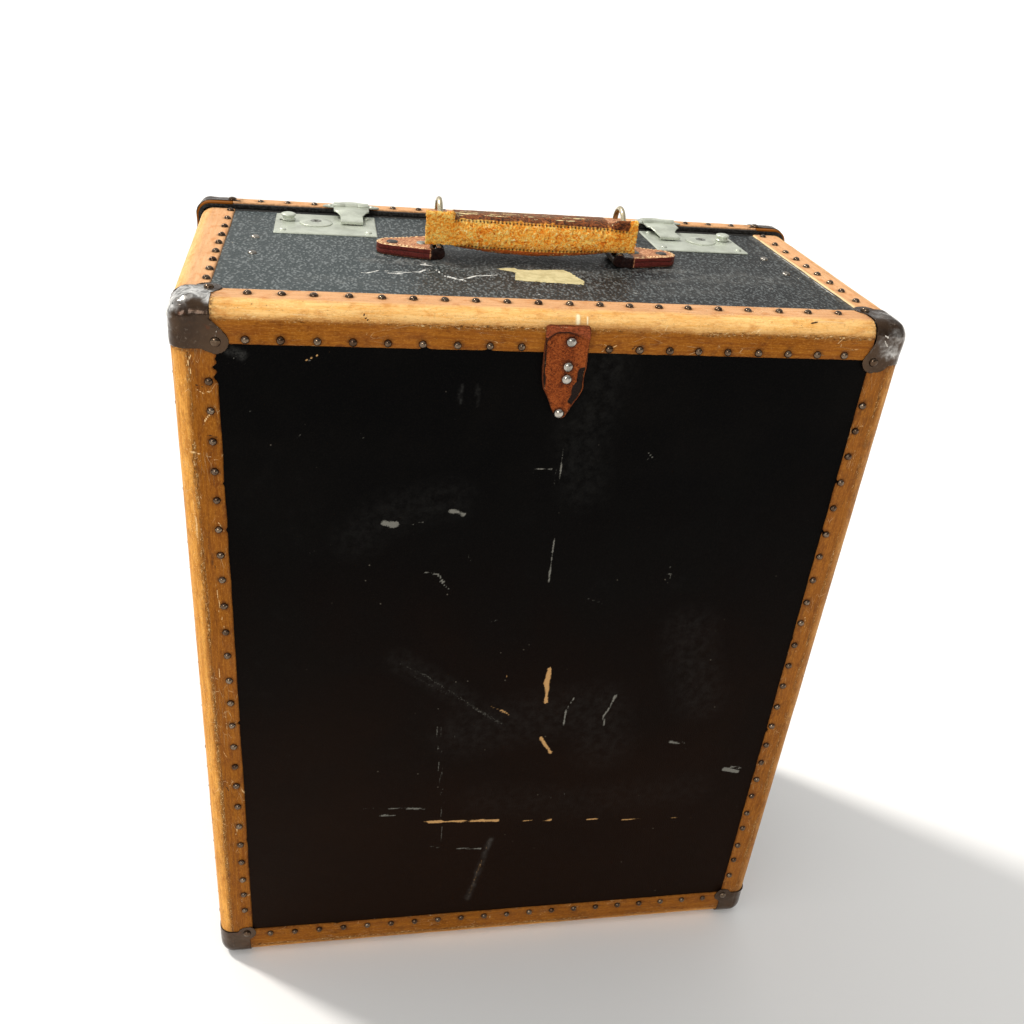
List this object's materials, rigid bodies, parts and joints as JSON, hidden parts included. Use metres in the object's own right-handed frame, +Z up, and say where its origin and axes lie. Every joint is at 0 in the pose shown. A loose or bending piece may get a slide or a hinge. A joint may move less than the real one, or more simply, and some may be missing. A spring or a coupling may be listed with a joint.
{
  "type": "wardrobe trunk",
  "caption": "Upright hand-carried wardrobe trunk with bound edges, hinged rear lid, hasp locks, ring-hung handle and garment rail.",
  "frame": {"origin": "on the ground, below the middle of the case", "axes": "+X to the right seen from the front face, +Y from the front face to the lid, +Z up"},
  "size_m": [0.4708, 0.2545, 0.5924],
  "materials": {
    "leathercloth": "satin grained",
    "binding": "satin fibre",
    "cap": "worn lacquer",
    "nail": "tarnished",
    "nickel": "dull nickel",
    "key_steel": "dull",
    "leather": "worn suede",
    "brass": "dull",
    "lining": "matt",
    "hinge_steel": "browned",
    "rail_steel": "nickel"
  },
  "bodies": {
    "body": {"front_panel": "leathercloth", "top_panel": "leathercloth", "bottom_panel": "leathercloth", "left_panel": "leathercloth", "right_panel": "leathercloth", "body_neck": "leathercloth", "body_lining": "lining", "front_binding_top": "binding", "front_binding_bottom": "binding", "front_binding_left": "binding", "front_binding_right": "binding", "top_binding_left": "binding", "top_binding_right": "binding", "bottom_binding_left": "binding", "bottom_binding_right": "binding", "body_corner_caps": "cap", "body_binding_nails": "nail", "body_cap_rivets": "nail", "rail_bracket_rivets": "nail", "lock_plate_left": "nickel", "lock_plate_right": "nickel", "key_boss_left": "nickel", "key_boss_right": "nickel", "lock_case_left": "hinge_steel", "lock_case_right": "hinge_steel", "lock_plate_rivets": "nail", "handle_chape_left": "leather", "handle_chape_right": "leather", "chape_rivets": "nail", "front_tab": "leather", "front_tab_rivets": "nail", "rail_bracket_left": "hinge_steel", "rail_bracket_right": "hinge_steel", "hinge_leaves_body": "hinge_steel", "hinge_pins": "hinge_steel"},
    "lid": {"lid_panel": "leathercloth", "lid_frame": "leathercloth", "lid_lining": "lining", "lid_binding_top": "binding", "lid_binding_bottom": "binding", "lid_binding_left": "binding", "lid_binding_right": "binding", "lid_corner_binding": "binding", "lid_corner_caps": "cap", "lid_binding_nails": "nail", "lid_cap_rivets": "nail", "hinge_leaves_lid": "hinge_steel", "hasp_plate_left": "nickel", "hasp_plate_right": "nickel"},
    "hasp_left": {"hasp_left": "nickel"},
    "hasp_right": {"hasp_right": "nickel"},
    "button_left": {"lock_button_left": "nickel"},
    "button_right": {"lock_button_right": "nickel"},
    "key_left": {"key_plug_left": "key_steel"},
    "key_right": {"key_plug_right": "key_steel"},
    "ring_left": {"handle_ring_left": "brass"},
    "ring_right": {"handle_ring_right": "brass"},
    "grip": {"handle_grip": "leather", "handle_core": "leather"},
    "rail": {"garment_rail": "rail_steel"}
  },
  "joints": [
    {"name": "lid_hinge", "type": "hinge", "parent": "body", "child": "lid", "pos_m": [0, 0.0985, 0.00175], "axis": [-1, 0, 0], "range_deg": [0, 72]},
    {"name": "hasp_left_hinge", "type": "hinge", "parent": "lid", "child": "hasp_left", "pos_m": [-0.1205, 0.096, 0.561], "axis": [-1, 0, 0], "range_deg": [0, 150]},
    {"name": "hasp_right_hinge", "type": "hinge", "parent": "lid", "child": "hasp_right", "pos_m": [0.1205, 0.096, 0.561], "axis": [-1, 0, 0], "range_deg": [0, 150]},
    {"name": "button_left_slide", "type": "slide", "parent": "body", "child": "button_left", "axis": [-1, 0, 0], "range_m": [0, 0.004], "stiffness_N_per_m": 200},
    {"name": "button_right_slide", "type": "slide", "parent": "body", "child": "button_right", "axis": [1, 0, 0], "range_m": [0, 0.004], "stiffness_N_per_m": 200},
    {"name": "key_left_turn", "type": "hinge", "parent": "body", "child": "key_left", "pos_m": [-0.146, 0.063, 0.5554], "axis": [0, 0, 1], "range_deg": [0, 90]},
    {"name": "key_right_turn", "type": "hinge", "parent": "body", "child": "key_right", "pos_m": [0.146, 0.063, 0.5554], "axis": [0, 0, 1], "range_deg": [0, 90]},
    {"name": "ring_left_swing", "type": "hinge", "parent": "body", "child": "ring_left", "pos_m": [-0.0648, -0.0005, 0.5585], "axis": [0, 1, 0], "range_deg": [-12, 12]},
    {"name": "ring_right_swing", "type": "hinge", "parent": "body", "child": "ring_right", "pos_m": [0.0602, -0.0005, 0.5585], "axis": [0, 1, 0], "range_deg": [-12, 12]},
    {"name": "grip_swing", "type": "hinge", "parent": "ring_left", "child": "grip", "pos_m": [-0.0648, -0.0005, 0.5906], "axis": [0, 1, 0], "range_deg": [-12, 12]},
    {"name": "rail_lift", "type": "slide", "parent": "body", "child": "rail", "axis": [0, 0, 1], "range_m": [0, 0.012]}
  ],
  "couplings": [
    {"joint": "ring_right_swing", "follows": "ring_left_swing", "ratio": 1},
    {"joint": "grip_swing", "follows": "ring_left_swing", "ratio": -1}
  ]
}
